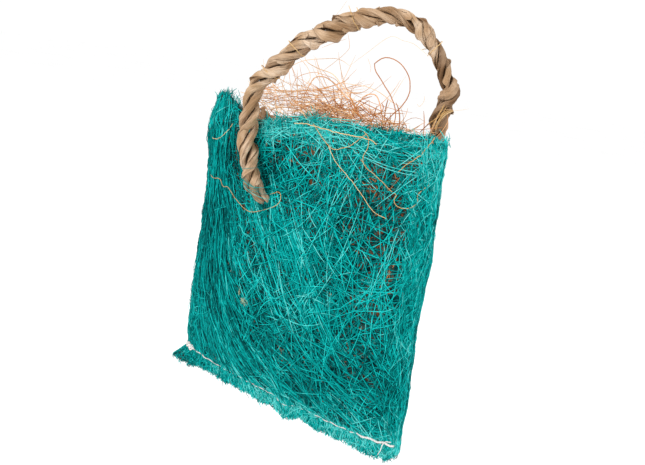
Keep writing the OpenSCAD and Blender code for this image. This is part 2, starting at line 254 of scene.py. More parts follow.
def make_piece(name, points, faces, material, body="bag", tone=None, grain=None, crease=None):
    """A smooth mesh from points in bag millimetres. tone, grain and crease are read by the materials."""
    mesh = bpy.data.meshes.new(name)
    mesh.from_pydata(place(points), [], faces)
    mesh.polygons.foreach_set("use_smooth", np.ones(len(mesh.polygons), bool))
    for key, values, kind in (("tone", tone, "FLOAT"), ("crease", crease, "FLOAT"),
                              ("grain", grain, "FLOAT_VECTOR")):
        if values is not None:
            field = "vector" if kind == "FLOAT_VECTOR" else "value"
            mesh.attributes.new(key, kind, "POINT").data.foreach_set(
                field, np.asarray(values, np.float32).ravel())
    mesh.materials.append(material)
    piece = bpy.data.objects.new(name, mesh)
    bpy.context.scene.collection.objects.link(piece)
    if body:
        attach(piece, body)
    return piece


def unit(v):
    return v / np.maximum(np.linalg.norm(v, axis=-1, keepdims=True), 1e-9)


def carried_sides(paths):
    """For each ring of each path a direction across it that turns as little as possible along the path."""
    along = unit(np.gradient(paths, axis=1))
    least = np.eye(3)[np.argmin(np.abs(along[:, 0]), axis=-1)]
    side = unit(np.cross(along[:, 0], least))
    sides = [side]
    for ring in range(1, paths.shape[1]):
        t = along[:, ring]
        side = unit(side - (side * t).sum(-1, keepdims=True) * t)
        sides.append(side)
    a = np.stack(sides, 1)
    return a, np.cross(along, a)


def tube_faces(count, rings, sides):
    """Faces of closed tubes whose points run round each ring, then along each tube."""
    at = np.arange(count * rings * sides).reshape(count, rings, sides)
    nxt = np.roll(at, -1, axis=2)
    walls = np.stack([at[:, :-1], nxt[:, :-1], nxt[:, 1:], at[:, 1:]], -1).reshape(-1, 4)
    ends = np.concatenate([at[:, 0, ::-1], at[:, -1]])
    return walls.tolist() + ends.tolist()


def tube_mesh(paths, radii, sides):
    """Points and faces of closed tubes. paths is tubes x rings x 3, radii is tubes x rings (x sides)."""
    count, rings = paths.shape[:2]
    a, b = carried_sides(paths)
    angle = 2 * np.pi * np.arange(sides) / sides
    ring = np.cos(angle)[:, None] * a[:, :, None] + np.sin(angle)[:, None] * b[:, :, None]
    radii = radii[..., None] if radii.ndim == 2 else radii
    points = (paths[:, :, None] + radii[..., None] * ring).reshape(-1, 3)
    return points, tube_faces(count, rings, sides)


def make_tubes(name, paths, radii, sides, tones, material, body="bag"):
    """Many closed fibres as one piece. tones is one number for each fibre."""
    points, faces = tube_mesh(paths, radii, sides)
    tone = np.repeat(tones, paths.shape[1] * sides)
    return make_piece(name, points, faces, material, body, tone=tone)


def tapered(radius, rings):
    """Radii along fibres that thin out towards both ends."""
    tip = 0.35
    k = np.linspace(-1, 1, rings)
    return radius[:, None] * (1 - (1 - tip) * np.abs(k) ** 6)


def curve(points, steps):
    """A smooth curve through given points."""
    p = np.asarray(points, float)
    p = np.vstack([p[:1], p, p[-1:]])
    k = (np.arange(steps) / steps)[:, None]
    runs = []
    for a, b, c, d in zip(p, p[1:], p[2:], p[3:]):
        runs.append((2 * b + (c - a) * k + (2 * a - 5 * b + 4 * c - d) * k ** 2
                     + (3 * b - a - 3 * c + d) * k ** 3) / 2)
    return np.vstack(runs + [p[-1:]])


def run_along(points):
    """How far along a line each of its points is."""
    return np.concatenate([[0], np.cumsum(np.linalg.norm(np.diff(points, axis=0), axis=1))])


def even(points, rings):
    """The same line with its points an equal distance apart."""
    run = run_along(points)
    want = np.linspace(0, run[-1], rings)
    return np.stack([np.interp(want, run, points[:, k]) for k in range(3)], -1)


def grid_faces(rows, columns):
    """Four-sided faces of one grid of points."""
    at = np.arange(rows * columns).reshape(rows, columns)
    return np.stack([at[:-1, :-1], at[:-1, 1:], at[1:, 1:], at[1:, :-1]], -1).reshape(-1, 4)


def closed_sheet(low, high):
    """Points and faces of a closed skin between two grids with the same rows and columns."""
    rows, columns = low.shape[:2]
    count = rows * columns
    points = np.concatenate([low.reshape(-1, 3), high.reshape(-1, 3)])
    skin_faces = grid_faces(rows, columns)
    at = np.arange(count).reshape(rows, columns)
    border = np.concatenate([at[0, :], at[1:, -1], at[-1, -2::-1], at[-2:0:-1, 0]])
    nxt = np.roll(border, -1)
    rim = np.stack([border, border + count, nxt + count, nxt], -1)
    return points, skin_faces.tolist() + (skin_faces[:, ::-1] + count).tolist() + rim.tolist()


# ---------------------------------------------------------------- materials

def linear(colour):
    """A screen colour of 0 to 255 as the linear one that shaders take."""
    c = np.asarray(colour) / 255
    return [*np.where(c < 0.04045, c / 12.92, ((c + 0.055) / 1.055) ** 2.4), 1]


class Nodes:
    """Short names for building a material's nodes."""

    def __init__(self, name, roughness, gloss=0.15):
        self.material = bpy.data.materials.new(name)
        self.material.use_nodes = True
        self.tree = self.material.node_tree
        self.shader = self.tree.nodes["Principled BSDF"]
        self.shader.inputs["Roughness"].default_value = roughness
        self.shader.inputs["Specular IOR Level"].default_value = gloss

    def add(self, kind, inputs=None, **settings):
        node = self.tree.nodes.new(kind)
        for key, value in settings.items():
            setattr(node, key, value)
        for key, value in (inputs or {}).items():
            if isinstance(value, bpy.types.NodeSocket):
                self.tree.links.new(value, node.inputs[key])
            else:
                node.inputs[key].default_value = value
        return node

    def attribute(self, name, output="Fac"):
        return self.add("ShaderNodeAttribute", attribute_name=name).outputs[output]

    def place(self):
        return self.add("ShaderNodeTexCoord").outputs["Object"]

    def noise(self, scale, detail=3, vector=None):
        inputs = {"Scale": scale, "Detail": detail, "Vector": vector or self.place()}
        return self.add("ShaderNodeTexNoise", inputs).outputs["Fac"]

    def ramp(self, value, stops):
        node = self.add("ShaderNodeValToRGB", {"Fac": value})
        band = node.color_ramp
        band.elements[0].position = stops[0][0]
        band.elements[1].position = stops[-1][0]
        for at, _ in stops[1:-1]:
            band.elements.new(at)
        for element, (_, colour) in zip(band.elements, stops):
            element.color = linear(colour)
        return node.outputs["Color"]

    def maths(self, operation, a, b=0.0, clamp=False):
        return self.add("ShaderNodeMath", {0: a, 1: b}, operation=operation, use_clamp=clamp).outputs[0]

    def blend(self, factor, a, b, kind="MIX"):
        inputs = {0: factor, 6: a, 7: b}
        return self.add("ShaderNodeMix", inputs, data_type="RGBA", blend_type=kind).outputs[2]

    def bump(self, height, strength, distance):
        node = self.add("ShaderNodeBump", {"Height": height, "Strength": strength, "Distance": distance})
        self.tree.links.new(node.outputs["Normal"], self.shader.inputs["Normal"])

    def finish(self, colour):
        self.tree.links.new(colour, self.shader.inputs["Base Color"])
        return self.material


def fibre_material(name, stops, roughness, gloss):
    """A fibre whose colour comes from its own tone, with slow patches of lighter and darker dye. On the mats
    the tone also carries painted light and shade.
    """
    patch_scale, patch_share = 260, 0.35
    n = Nodes(name, roughness, gloss)
    drift = n.maths("MULTIPLY", n.maths("SUBTRACT", n.noise(patch_scale, 2), 0.5), patch_share)
    colour = n.ramp(n.maths("ADD", n.attribute("tone"), drift, clamp=True), stops)
    n.bump(n.noise(3000, 2), 0.2, 0.0001)
    return n.finish(colour)


def web_material(name, dark, mid, shaded_gap_colour):
    """The pressed base of a mat: short matted fibres with stuffing showing in the gaps. Its dark colours and
    its dark gap colour are partly painted shade, for the shade under the loose fibres and down in the gaps.
    """
    n = Nodes(name, 0.7, 0.04)
    fine = n.noise(900, 4)
    colour = n.ramp(fine, [(0.35, dark), (0.6, mid)])
    gaps = n.ramp(n.maths("ADD", n.noise(420, 3), n.maths("MULTIPLY", n.noise(28, 1), 0.35)),
                  [(0.6, (0, 0, 0)), (0.68, (255, 255, 255))])
    colour = n.blend(gaps, colour, linear(shaded_gap_colour))
    n.bump(fine, 0.6, 0.0006)
    return n.finish(colour)


def leaf_material(name, stops, crease_shade_colour):
    """Dry twisted leaf: long grain along each strip, painted shade in its creases, faded in patches."""
    n = Nodes(name, 0.62)
    grain = n.attribute("grain", "Vector")
    stretched = n.add("ShaderNodeVectorMath", {0: grain, 1: (1, 1, 0.12)}, operation="MULTIPLY").outputs[0]
    streaks = n.noise(1.6, 4, stretched)
    fine = n.noise(6, 3, stretched)
    value = n.maths("ADD", n.maths("MULTIPLY", streaks, 0.6), n.maths("MULTIPLY", fine, 0.4))
    value = n.maths("ADD", value, n.maths("SUBTRACT", n.attribute("tone"), 0.5), clamp=True)
    colour = n.ramp(value, stops)
    patches = n.ramp(n.noise(70, 2), [(0.4, (205, 190, 170)), (0.65, (255, 255, 255))])
    colour = n.blend(1.0, colour, patches, "MULTIPLY")
    colour = n.blend(n.attribute("crease"), colour, linear(crease_shade_colour))
    n.bump(n.maths("ADD", fine, streaks), 0.5, 0.0004)
    return n.finish(colour)


# The dark foot of this ramp is painted shade for the deepest fibres, and its pale top is painted highlight,
# as these fibres have almost no gloss.
turquoise = fibre_material("dyed sisal", [
    (0.0, (0, 40, 42)), (0.33, (0, 98, 97)), (0.68, (0, 160, 156)), (0.88, (20, 196, 191)),
    (1.0, (100, 212, 207))], 0.45, 0.04)
# Partly painted shade: dark under the loose fibres, with the stuffing in the gaps darkened by painted shade.
turquoise_web = web_material("pressed sisal", (0, 26, 28), (0, 74, 73), (110, 66, 40))
coir_fibre = fibre_material("coconut fibre", [
    (0.0, (156, 94, 52)), (0.35, (212, 148, 96)), (0.7, (234, 184, 134)), (1.0, (250, 220, 182))], 0.6, 0.05)
# The near-black gap colour is painted shade down in the gaps.
coir_pad = web_material("matted coconut fibre", (70, 38, 20), (150, 95, 55), (45, 25, 14))
straw_fibre = fibre_material("undyed sisal", [
    (0.0, (172, 128, 76)), (0.5, (206, 168, 112)), (1.0, (228, 200, 152))], 0.45, 0.08)
pale_fibre = fibre_material("pale sisal", [
    (0.0, (150, 158, 122)), (1.0, (214, 212, 178))], 0.5, 0.05)
cotton = fibre_material("cotton thread", [
    (0.0, (178, 170, 168)), (0.6, (214, 207, 204)), (1.0, (236, 231, 228))], 0.85, 0.05)
# The last colour is the painted shade in the creases.
leaf = leaf_material("dry leaf", [
    (0.2, (144, 117, 92)), (0.5, (204, 176, 147)), (0.8, (234, 215, 194))], (66, 44, 30))


# ---------------------------------------------------------------- the mats

def make_web(side, name, node):
    """The pressed base sheet of a mat, inside the loose fibres."""
    columns, rows = 120, 110
    u = np.sin(np.linspace(-np.pi / 2, np.pi / 2, columns))
    lips = lip(side, u) - 1.5
    z = mix((hem_foot(u * BAG_W / 2) + 1.5)[None, :], lips[None, :], np.linspace(0, 1, rows)[:, None])
    sunk = -1.2 - 0.9 * smooth(np.abs(u), 0.9, 0.97)[None, :] * smooth(z, 0, 20)
    flat, turn = fold_run(z, sunk)
    outer = skin(side, u * (flat + turn / 2), z, sunk)
    inner = skin(side, u * (flat + turn / 2), z, -mat_thick(z) + 0.25)
    points, faces = closed_sheet(*((outer, inner) if side == FRONT else (inner, outer)))
    web = make_piece(name, points, faces, turquoise_web)
    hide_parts(node)


def arcs(x, z, heading, bend, length, steps):
    """Arcs with their middles at x and z, as the x and the z of their points."""
    angle = heading[:, None] + bend[:, None] * np.linspace(-0.5, 0.5, steps + 1)
    run_x = np.cumsum(np.sin(angle), 1) * length[:, None] / steps
    run_z = -np.cumsum(np.cos(angle), 1) * length[:, None] / steps
    middle = steps // 2
    return x[:, None] + run_x - run_x[:, [middle]], z[:, None] + run_z - run_z[:, [middle]]


def trimmed(side, x, z, heading, bend, length, over_lip, over_hem, rings):
    """Arcs over a mat, as across and z, each cut where it would leave the mat.

    heading is measured from straight down. Arcs with too little left are dropped."""
    steps = 40
    middle = steps // 2
    path_x, path_z = arcs(x, z, heading, bend, length, steps)
    u = np.clip(path_x / fold_x(path_z), -1, 1)
    inside = ((path_z < lip(side, u) + over_lip[:, None]) & (path_z > hem_foot(path_x) - over_hem[:, None])
              & (np.abs(path_x) < BAG_W / 2 + 12))
    first = np.where(~inside[:, :middle + 1], np.arange(middle + 1), -1).max(1) + 1
    last = np.where(~inside[:, middle:], np.arange(middle, steps + 1), steps + 1).min(1) - 1
    keep = last - first > 3
    first, last = first[keep], last[keep]
    want = first[:, None] + (last - first)[:, None] * np.linspace(0, 1, rings)
    low = np.minimum(want.astype(int), steps - 1)
    part = want - low
    rows = np.arange(len(want))[:, None]
    px, pz = path_x[keep], path_z[keep]
    return mix(px[rows, low], px[rows, low + 1], part), mix(pz[rows, low], pz[rows, low + 1], part)


def depths(rng, side, across, height, depth, wave):
    """How far off the mat's face each point of its fibres lies.

    They rise and fall, dive under towards the lip and the hem, and stray round the folds."""
    kept, rings = across.shape
    k = np.linspace(0, 1, rings)
    out = rng.uniform(*depth, kept)[:, None]
    edge = np.minimum(lip(side, np.clip(across / fold_x(height), -1, 1)) - height, height + HEM_H)
    out = out - 1.6 * rng.random(kept)[:, None] * (1 - smooth(edge, 1, 7))
    turns = k * rng.uniform(0.5, 2.5, kept)[:, None] + rng.random(kept)[:, None]
    out = out + wave * np.sin(2 * np.pi * turns)
    out = out * mix(0.6, 1, smooth(height, 0, 20))
    curled = np.sin(k * rng.uniform(4, 12, (kept, 1)) + rng.uniform(0, 6, (kept, 1)))
    strayed = np.clip(rng.normal(0, 0.75, (kept, 1)) + 0.6 * curled, -1.4, 2.2)
    return out + strayed * smooth(np.abs(across), 74, 84) * smooth(height, 0, 12)


def mat_layer(rng, side, name, count, length, radius, depth, tone, aim, rings, where=None, wave=0.25,
              past=0.0, material=turquoise):
    """One layer of a mat's fibres. length, radius, depth and tone are (low, high).

    aim gives their headings and where their places. wave is how much they rise and fall, and past is how
    much further than usual some ends stand out over the lip and the hem."""
    x, z = (where or anywhere)(rng, side, count)
    count = len(x)
    heading, bend = aim(rng, x, z)
    over_lip = rng.uniform(-3, 2.2, count) + (2.6 + past) * (rng.random(count) < 0.18)
    over_hem = rng.uniform(-2.8, 1.6, count) + (2.4 + past) * (rng.random(count) < 0.2)
    lengths = rng.uniform(*length, count) * (1 - 0.6 * smooth(-z, -6, 2))
    across, height = trimmed(side, x, z, heading, bend, lengths, over_lip, over_hem, rings)
    kept = len(across)
    out = depths(rng, side, across, height, depth, wave)
    paths = skin(side, across, height, out)
    radii = tapered(rng.uniform(*radius, kept), rings)
    # Fibres that lie deep among the others are darkened as painted shade, and painted light and shade by
    # place on the mat is added.
    tones = (rng.uniform(*tone, kept) - 0.3 * (1 - smooth(out.mean(1), -1.4, 0.2))
             + painted_light_and_shade(side, across.mean(1), height.mean(1)))
    make_tubes(name, paths, radii, 3, np.clip(tones, 0, 1), material)


def painted_light_and_shade(side, x, z):
    """Painted light and shade on the fibres' tones: darker at the left, lighter at the lip and the hem, and
    lighter on the right fold.
    """
    low = 1 - smooth(z, 30, 75)
    light = 0.06 * smooth(x, -60, 0) - 0.2 * (1 - smooth(x, -72, -20)) + 0.3 * (1 - smooth(z, -2, 7))
    by_lip = smooth(z, BAG_H - 28, BAG_H - 10) * smooth(x, -48, -20)
    light = light + 0.39 * by_lip * (1 - 0.4 * smooth(x, 10, 50))
    light = light - 0.16 * (1 - smooth(z, -2, 6)) * (1 - smooth(x, -74, -36))
    light = light - 0.12 * low * smooth(z, 4, 14) * smooth(x, -50, -20)
    light = light + 0.14 * low * (1 - smooth(x, -64, -44)) + 0.06 * smooth(x, 70, 84)
    light = light - 0.075 * smooth(x, -45, -10) * (1 - smooth(z, 128, 150)) * smooth(z, 20, 50)
    light = light + 0.2 * (1 - smooth(x, -70, -46)) * smooth(z, 136, 165)
    light = light + 0.07 * np.sin(x / 13 + z / 17) * np.sin(z / 12 - x / 19)
    if side == FRONT:
        # Painted shadow in the hollow beside the rope's front leg, where the rope pulls the mat in.
        rope_hollow_shadow = np.exp(-((x + 17 - 0.25 * (z - 130)) / 6) ** 2) * smooth(z, 116, 126)
        light = light - 0.35 * rope_hollow_shadow * (1 - smooth(z, 150, 166))
    return light


def thickness_of_web(side, x, z):
    """How closely the fibres lie, from 0 to 1: dense at the left and the edges, open at the upper right."""
    if side == BACK:
        return 0.7 + 0.3 * smooth(np.abs(x), 60, 80)
    left = 0.9 * (1 - smooth(x + 0.25 * z, -25, 5))
    low_or_high = np.maximum(1 - smooth(z, 6, 22), smooth(z, 156, 168))
    edge = np.maximum(smooth(np.abs(x), 66, 80), low_or_high)
    open_part = 0.7 - 0.1 * smooth(z, 50, 90) - 0.24 * smooth(x + z - 120, 0, 60)
    clumps = 0.2 * np.sin(x / 9 + 1.7 * np.sin(z / 14)) * np.sin(z / 11 + x / 31)
    return np.clip(np.maximum(np.maximum(left, 0.85 * edge), open_part) + clumps, 0, 1)


def anywhere(rng, side, count):
    z = rng.uniform(-HEM_H, BAG_H, count)
    x = rng.uniform(-1, 1, count) * (BAG_W / 2 + 2)
    kept = rng.random(count) < thickness_of_web(side, x, z)
    return x[kept], z[kept]


def below_lip(rng, side, count, half_width, low, high):
    """Places from low to high mm below a mat's lip."""
    x = rng.uniform(-1, 1, count) * half_width
    return x, lip(side, np.clip(x / fold_x(BAG_H), -1, 1)) - rng.uniform(low, high, count)


def near_lip(rng, side, count):
    return below_lip(rng, side, count, BAG_W / 2, 0, 26)


def near_lip_edge(rng, side, count):
    return below_lip(rng, side, count, BAG_W / 2 + 1, 0.5, 6)


def near_hem(rng, side, count):
    """Places along the raw hem, where the cut ends hang out."""
    x = rng.uniform(-1, 1, count) * (BAG_W / 2 + 1)
    return x, mix(hem_foot(x), 1.5, rng.random(count))


def in_open_parts(rng, side, count):
    """Places where the mat is thin, so that the stuffing shows."""
    x = rng.uniform(-1, 1, count) * (BAG_W / 2 - 6)
    z = rng.uniform(4, BAG_H - 4, count)
    kept = rng.random(count) > thickness_of_web(side, x, z) - 0.12
    return x[kept], z[kept]


def near_folds(rng, side, count):
    z = rng.uniform(0, BAG_H - 4, count)
    return rng.choice([-1, 1], count) * (fold_x(z) + rng.uniform(-9, 2, count)), z


def combed_share(x, z):
    """How combed the fibres are: long and parallel at the left and in the bottom sweep, matted elsewhere."""
    left = 1 - smooth(x + 0.25 * z, -30, 5)
    felted_corner = (1 - smooth(z, 34, 58)) * (1 - smooth(x, -74, -60))
    left = left * (1 - 0.85 * felted_corner) * (1 - 0.5 * smooth(z, 148, 166))
    sweep = (1 - smooth(z - 0.2 * x, 8, 60)) * smooth(z, 2, 12) * 0.55
    fold = 0.75 * smooth(np.abs(x), 76, 83) * smooth(x, -90, -60)
    return np.clip(np.maximum(np.maximum(left, sweep), fold), 0.08, 0.93)


def sweep_heading(x, z):
    """The way the combed fibres run: straight down at the left fold, then down to the right."""
    swing = smooth(x, -86, 10) * mix(0.45, 1.05, 1 - up(z))
    return swing * (1 - smooth(x, 66, 82)) + 0.06


def front_aim(rng, x, z):
    """Headings and bends on the front mat: combed, matted, or along the lip near the top."""
    combed = rng.random(len(x)) < combed_share(x, z)
    heading = np.where(combed, sweep_heading(x, z) + rng.normal(0, 0.16, len(x)),
                       rng.uniform(-np.pi / 2, np.pi / 2, len(x)))
    felted = (z > BAG_H - 16) & (rng.random(len(x)) < 0.55) & (x > -45)
    heading = np.where(felted, np.pi / 2 + rng.normal(0, 0.3, len(x)), heading)
    bend = np.where(combed, rng.normal(0.18, 0.22, len(x)), rng.normal(0, 0.5, len(x)))
    return heading, bend


def in_sweep(rng, side, count):
    """Places in the band of long parallel fibres that runs from beside the rope down to the right."""
    along = rng.random(count)
    x = mix(-22, 40, along) + rng.normal(0, 12, count)
    return x, mix(116, 62, along) + rng.normal(0, 12, count)


def sweep_aim(rng, x, z):
    return 0.56 + rng.normal(0, 0.1, len(x)), rng.normal(0.12, 0.12, len(x))


def on_right(rng, side, count):
    return rng.uniform(22, 80, count), rng.uniform(14, 150, count)


def back_aim(rng, x, z):
    combed = rng.random(len(x)) < 0.15 + 0.6 * smooth(np.abs(x), 60, 82)
    heading = np.where(combed, rng.normal(0.05, 0.18, len(x)), rng.uniform(-np.pi / 2, np.pi / 2, len(x)))
    return heading, rng.normal(0, 0.45, len(x))


def frayed_aim(rng, x, z):
    return rng.normal(0.1, 0.5, len(x)), rng.normal(0, 0.8, len(x))


def upright_aim(rng, x, z):
    return rng.normal(0, 0.35, len(x)), rng.normal(0, 0.6, len(x))


def make_mat(side, name, aim, seed):
    """A mat's base sheet and its layers of fibres, from the felted inside out to single hairs."""
    rng = np.random.default_rng(seed)
    make_web(side, name + "_web", name)
    felt = (4800, (10, 36), (0.17, 0.28), (-2.3, -0.6), (0.0, 0.5), aim, 7, {"wave": 0.4})
    hem_ends = (2800, (4, 11), (0.14, 0.27), (-1.4, 0.5), (0.2, 0.85), frayed_aim, 5,
                {"where": near_hem, "past": 2.4})
    # The deeper layers get lower tones, as painted shade under the fibres above them, and the few palest
    # fibres get the highest tones, as painted highlights.
    layers = [
        ("felt_1", *felt),
        ("felt_2", *felt),
        ("short_fibres", 5600, (6, 22), (0.17, 0.29), (-1.3, 0.0), (0.15, 0.85), aim, 6, {"wave": 0.45}),
        ("fibres", 3400, (16, 60), (0.18, 0.31), (-0.9, 0.3), (0.2, 0.92), aim, 10, {"wave": 0.6}),
        ("surface_fibres", 2400, (8, 26), (0.18, 0.3), (-0.4, 0.4), (0.35, 1.0), aim, 7, {"wave": 0.4}),
        ("glossy_fibres", 330, (14, 54), (0.2, 0.32), (-0.1, 0.5), (0.6, 0.98), aim, 12, {"wave": 0.45}),
        ("inner_fibres", 1300, (8, 30), (0.16, 0.26), (-3.6, -2.8), (0.15, 0.7), back_aim, 6,
         {"where": near_lip}),
        ("lip_ends", 1700, (4, 13), (0.13, 0.24), (-2.6, 0.1), (0.35, 0.95), frayed_aim, 6,
         {"where": near_lip_edge, "past": 1.5}),
        ("hem_ends_1", *hem_ends),
        ("hem_ends_2", *hem_ends),
        ("fold_fibres", 1500, (6, 30), (0.14, 0.24), (-0.6, 1.0), (0.3, 0.95), upright_aim, 10,
         {"where": near_folds, "wave": 0.8}),
        ("hairs", 170, (10, 30), (0.1, 0.17), (0.3, 2.6), (0.4, 1.0), upright_aim, 14,
         {"where": near_folds, "wave": 1.5}),
        ("stray_coir", 1900, (6, 22), (0.18, 0.3), (-2.2, -0.7), (0.0, 0.5), back_aim, 5,
         {"where": in_open_parts, "material": coir_fibre})]
    for part, *settings, extra in layers:
        mat_layer(rng, side, f"{name}_{part}", *settings, **extra)


def make_fibres_over_rope():
    """Fibres of the front mat that close over the rope where it goes through."""
    rng = np.random.default_rng(15)
    count, rings = 11, 40
    k = np.linspace(0, 1, rings)
    z = rng.uniform(117, 136, count)
    left = -33 + 0.35 * (139 - z) + rng.uniform(-4, 1, count)
    right = left + rng.uniform(15, 22, count)
    x = mix(left[:, None], right[:, None], k)
    slope, bow = rng.uniform(-12, 7, (count, 1)), rng.normal(0, 2, (count, 1))
    height = z[:, None] + slope * k + bow * np.sin(np.pi * k)
    paths = skin(FRONT, x, height, 0.2 + 0 * x)
    leg = np.array(FRONT_LEG_ROUTE[:7])[::-1]
    rope_x, rope_y = (np.interp(height, leg[:, 2], leg[:, axis]) for axis in (0, 1))
    reach = 6.1
    over = rope_y - np.sqrt(np.maximum(reach ** 2 - (x - rope_x) ** 2, 0))
    paths[..., 1] = np.where(np.abs(x - rope_x) < reach, np.minimum(paths[..., 1], over), paths[..., 1])
    make_tubes("front_mat_fibres_over_rope", paths, tapered(rng.uniform(0.1, 0.18, count), rings), 4,
               rng.uniform(0.3, 0.9, count), turquoise)


def make_tufts():
    """Tufts of the mat that stand up over the lip, with one long fibre at the upper left."""
    rng = np.random.default_rng(16)
    rings = 9
    roots, lean, reach = [], [], []
    for x, y, z, spread, count, high in TUFTS:
        roots.append(np.array([x, y, z]) + rng.normal(0, [spread, 1.5, 1.2], (count, 3)))
        lean.append(rng.normal(0, 0.55, count))
        reach.append(rng.uniform(0.4, 1, count) * high)
    roots, lean, reach = np.concatenate(roots), np.concatenate(lean), np.concatenate(reach)
    k = np.linspace(-0.4, 1, rings)
    side = lean[:, None] * k + rng.normal(0, 0.35, (len(roots), 1)) * k ** 2
    away = rng.normal(0, 0.25, (len(roots), 1)) * k
    paths = roots[:, None] + reach[:, None, None] * np.stack([side, away, k + 0 * side], -1)
    make_tubes("lip_tufts", paths, tapered(rng.uniform(0.13, 0.23, len(roots)), rings), 4,
               rng.uniform(0.35, 0.95, len(roots)), turquoise)


def make_long_fibres():
    """The longest and palest fibres of the front mat: a sweep below the rope, and a few at the right."""
    rng = np.random.default_rng(17)
    mat_layer(rng, FRONT, "front_mat_sweep_fibres", 80, (30, 72), (0.2, 0.3), (-0.2, 0.4), (0.5, 1.0),
              sweep_aim, 16, where=in_sweep, wave=0.3)
    mat_layer(rng, FRONT, "front_mat_long_fibres", 34, (40, 85), (0.2, 0.3), (-0.1, 0.4), (0.65, 1.0),
              upright_aim, 18, where=on_right, wave=0.3)


make_mat(FRONT, "front_mat", front_aim, 11)
make_long_fibres()
make_fibres_over_rope()
make_tufts()
make_mat(BACK, "back_mat", back_aim, 12)


# ---------------------------------------------------------------- the stuffing

def make_coir_core():
    """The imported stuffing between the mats."""
    columns, rows = 70, 70
    u = np.sin(np.linspace(-np.pi / 2, np.pi / 2, columns))
    top = np.minimum(lip(BACK, u), lip(FRONT, u)) - 1
    z = mix(14, top[None, :], np.linspace(0, 1, rows)[:, None])
    x = u * (fold_x(z) - 5)
    taper = 1 - 0.6 * smooth(z, BAG_H - 14, BAG_H + 6)
    lumps = 0.8 * np.sin(x / 3.1 + np.sin(z / 4)) * np.sin(z / 2.7)
    half = np.maximum(0.5, room(z) * crown(x / fold_x(z)) * taper - 1.8 + lumps * 0.6)
    low = z - drop(u, z)
    points, faces = closed_sheet(np.stack([x, -half, low], -1), np.stack([x, half, low], -1))
    core = make_piece("coir_core", points, faces, coir_pad)
    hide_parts("coir_filling")


def curls(rng, centre, facing, length, bend, rings):
    """Arcs of a circle in random planes round the given directions."""
    count = len(centre)
    across = unit(np.cross(facing, unit(rng.normal(size=(count, 3)))))
    k = np.linspace(-0.5, 0.5, rings)
    turn = bend[:, None] * k
    reach = length[:, None] / np.maximum(np.abs(bend), 0.05)[:, None]
    along, aside = np.sin(turn) * reach, (1 - np.cos(turn)) * reach
    return centre[:, None] + along[..., None] * facing[:, None] + aside[..., None] * across[:, None]


def held_in_mouth(paths):
    """Keeps fibres between the mats where they are below the lips."""
    x, y, z = paths[..., 0], paths[..., 1], paths[..., 2]
    u = np.clip(x / (fold_x(z) - 3), -1, 1)
    below = 1 - smooth(z, BAG_H - 6, BAG_H + 6)
    limit = mix(24, room(z) * crown(u), below)
    return np.stack([np.clip(x, -82, 82), np.clip(y, -limit, limit), z], -1)


def make_coir_layer(rng, name, count, spread, heights, length, bend, radius, tone, tilt, rings):
    """Loose stuffing fibres. spread is the middle and the spread of their places across the bag."""
    u = np.clip(rng.normal(spread[0], spread[1], count), -0.93, 0.93)
    u = np.where(u < -0.5, -0.5 + 0.25 * (u + 0.5), u)
    z = rng.uniform(*heights, count) - 5 * smooth(u, 0.25, 0.8) - 9 * smooth(-u, 0.4, 0.75)
    y = rng.uniform(-1, 1, count) * room(BAG_H) * crown(u) * 0.9
    centre = np.stack([u * 83, y, z], -1)
    facing = rng.normal(size=(count, 3)) * [1, 0.6, tilt]
    paths = curls(rng, centre, unit(facing), rng.uniform(*length, count), rng.normal(0, bend, count), rings)
    paths = held_in_mouth(paths)
    make_tubes(name, paths, tapered(rng.uniform(*radius, count), rings), 3, rng.uniform(*tone, count),
               coir_fibre)


def make_long_coir(rng):
    """The wisps and the loops that are followed one by one."""
    wisps = np.stack([even(curve(route, 10), 60) for route in WISP_ROUTES])
    make_tubes("coir_wisps", wisps, tapered(np.array(WISP_RADII), 60), 5, rng.uniform(0.5, 0.9, len(wisps)),
               coir_fibre)
    loops = [even(curve(route, 8), 44) for route in COIR_ROUTES]
    wobble = rng.normal(0, 0.25, (len(loops), 44, 3)).cumsum(1)
    wobble -= np.linspace(0, 1, 44)[:, None] * wobble[:, -1:]
    piece = make_tubes("coir_long_loops", np.stack(loops) + wobble * 0.6, np.full((len(loops), 44), 0.3), 6,
                       np.array([0.1, 0.6, 0.5]), coir_fibre)
    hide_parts("coir_loops")


def make_coir():
    rng = np.random.default_rng(21)
    make_coir_core()
    layers = [
        ("floor", 1300, (0.0, 0.5), (148, 158), (10, 30), 1.2, (0.16, 0.28), (0.0, 0.7), 0.15, 6),
        ("tangle", 125, (-0.08, 0.27), (164, 177), (18, 50), 1.7, (0.14, 0.27), (0.2, 1.0), 0.2, 14),
        ("edge_tangle", 150, (0.44, 0.27), (162, 179), (14, 38), 1.6, (0.14, 0.27), (0.1, 0.9), 0.35, 12),
        ("corner_tangle", 46, (-0.62, 0.07), (177, 186), (10, 26), 1.3, (0.12, 0.2), (0.4, 1.0), 0.5, 10),
        ("arches", 80, (-0.06, 0.22), (173, 187), (30, 66), 1.9, (0.12, 0.2), (0.3, 0.95), 0.35, 20),
        ("twigs", 36, (0.42, 0.28), (172, 184), (10, 26), 0.7, (0.24, 0.4), (0.0, 0.25), 0.7, 10)]
    for part, *settings in layers:
        make_coir_layer(rng, "coir_" + part, *settings)
    make_long_coir(rng)


make_coir()


# ---------------------------------------------------------------- the rope

ROPE_ROUTE = FRONT_LEG_ROUTE[::-1] + [FRONT_BEND] + HANDLE_ROUTE + [BACK_BEND] + BACK_LEG_ROUTE


def slimmer(points):
    """How full the rope is beside its front leg: it thins out over the arch and down its back part."""
    return 1 - 0.24 * smooth(points[:, 0], 5, 62) * smooth(points[:, 2], 174, 206)


